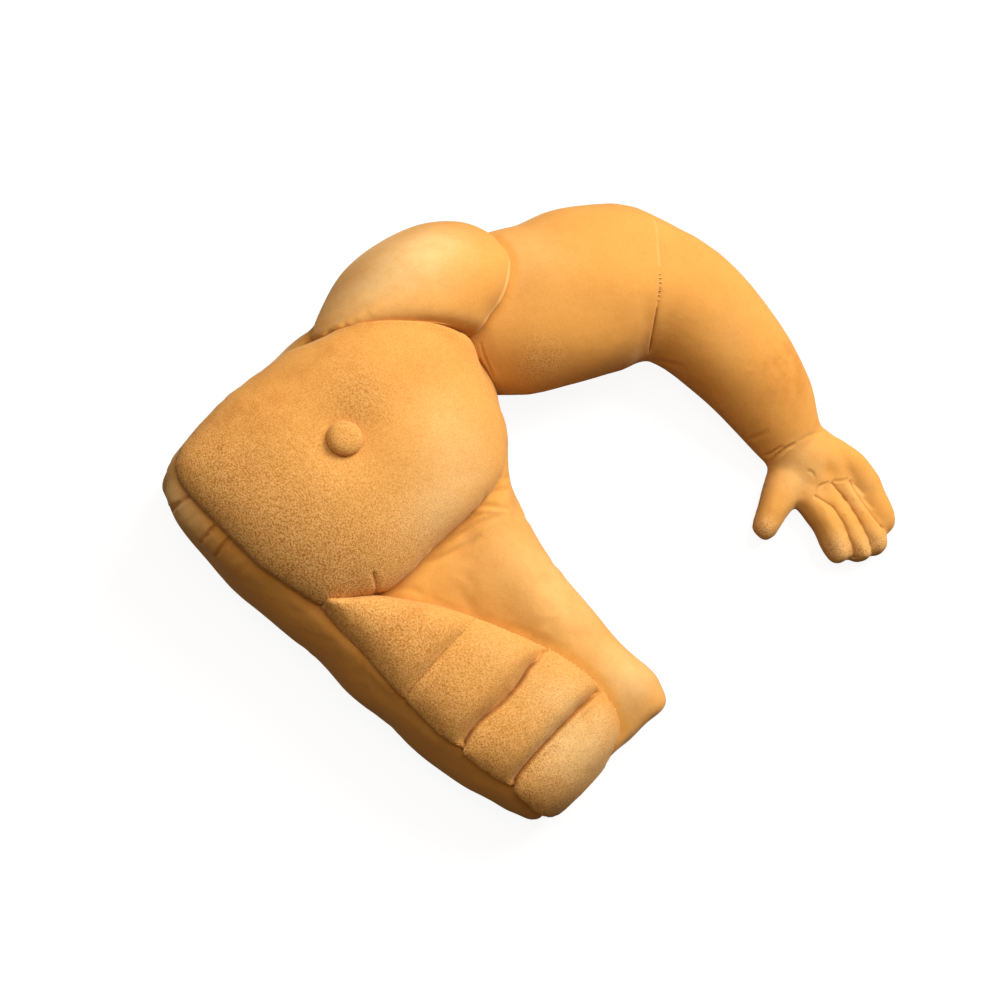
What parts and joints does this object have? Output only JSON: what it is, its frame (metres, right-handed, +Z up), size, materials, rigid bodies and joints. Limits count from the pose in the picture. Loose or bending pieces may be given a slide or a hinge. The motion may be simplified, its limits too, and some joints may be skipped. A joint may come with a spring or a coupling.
{
  "type": "backrest pillow",
  "caption": "Plush backrest pillow shaped as half a torso with a bent arm and hand: padded chest with a covered button, quilted stomach, shoulder cap.",
  "frame": {"origin": "middle of the pillow's box, on the surface it lies on", "axes": "+Z up out of the chest from the flat back, +Y towards the shoulders, +X towards the arm"},
  "size_m": [0.6326, 0.6053, 0.168],
  "materials": {
    "plush": "matte short-pile plush, orange tan",
    "button_cover": "the same plush, drawn over a button form"
  },
  "bodies": {
    "root": {"torso": "plush", "chest_pad": "plush", "abs_pad": "plush", "shoulder_cap": "plush", "upper_arm": "plush", "forearm": "plush", "hand": "plush", "button": "button_cover"}
  },
  "joints": []
}
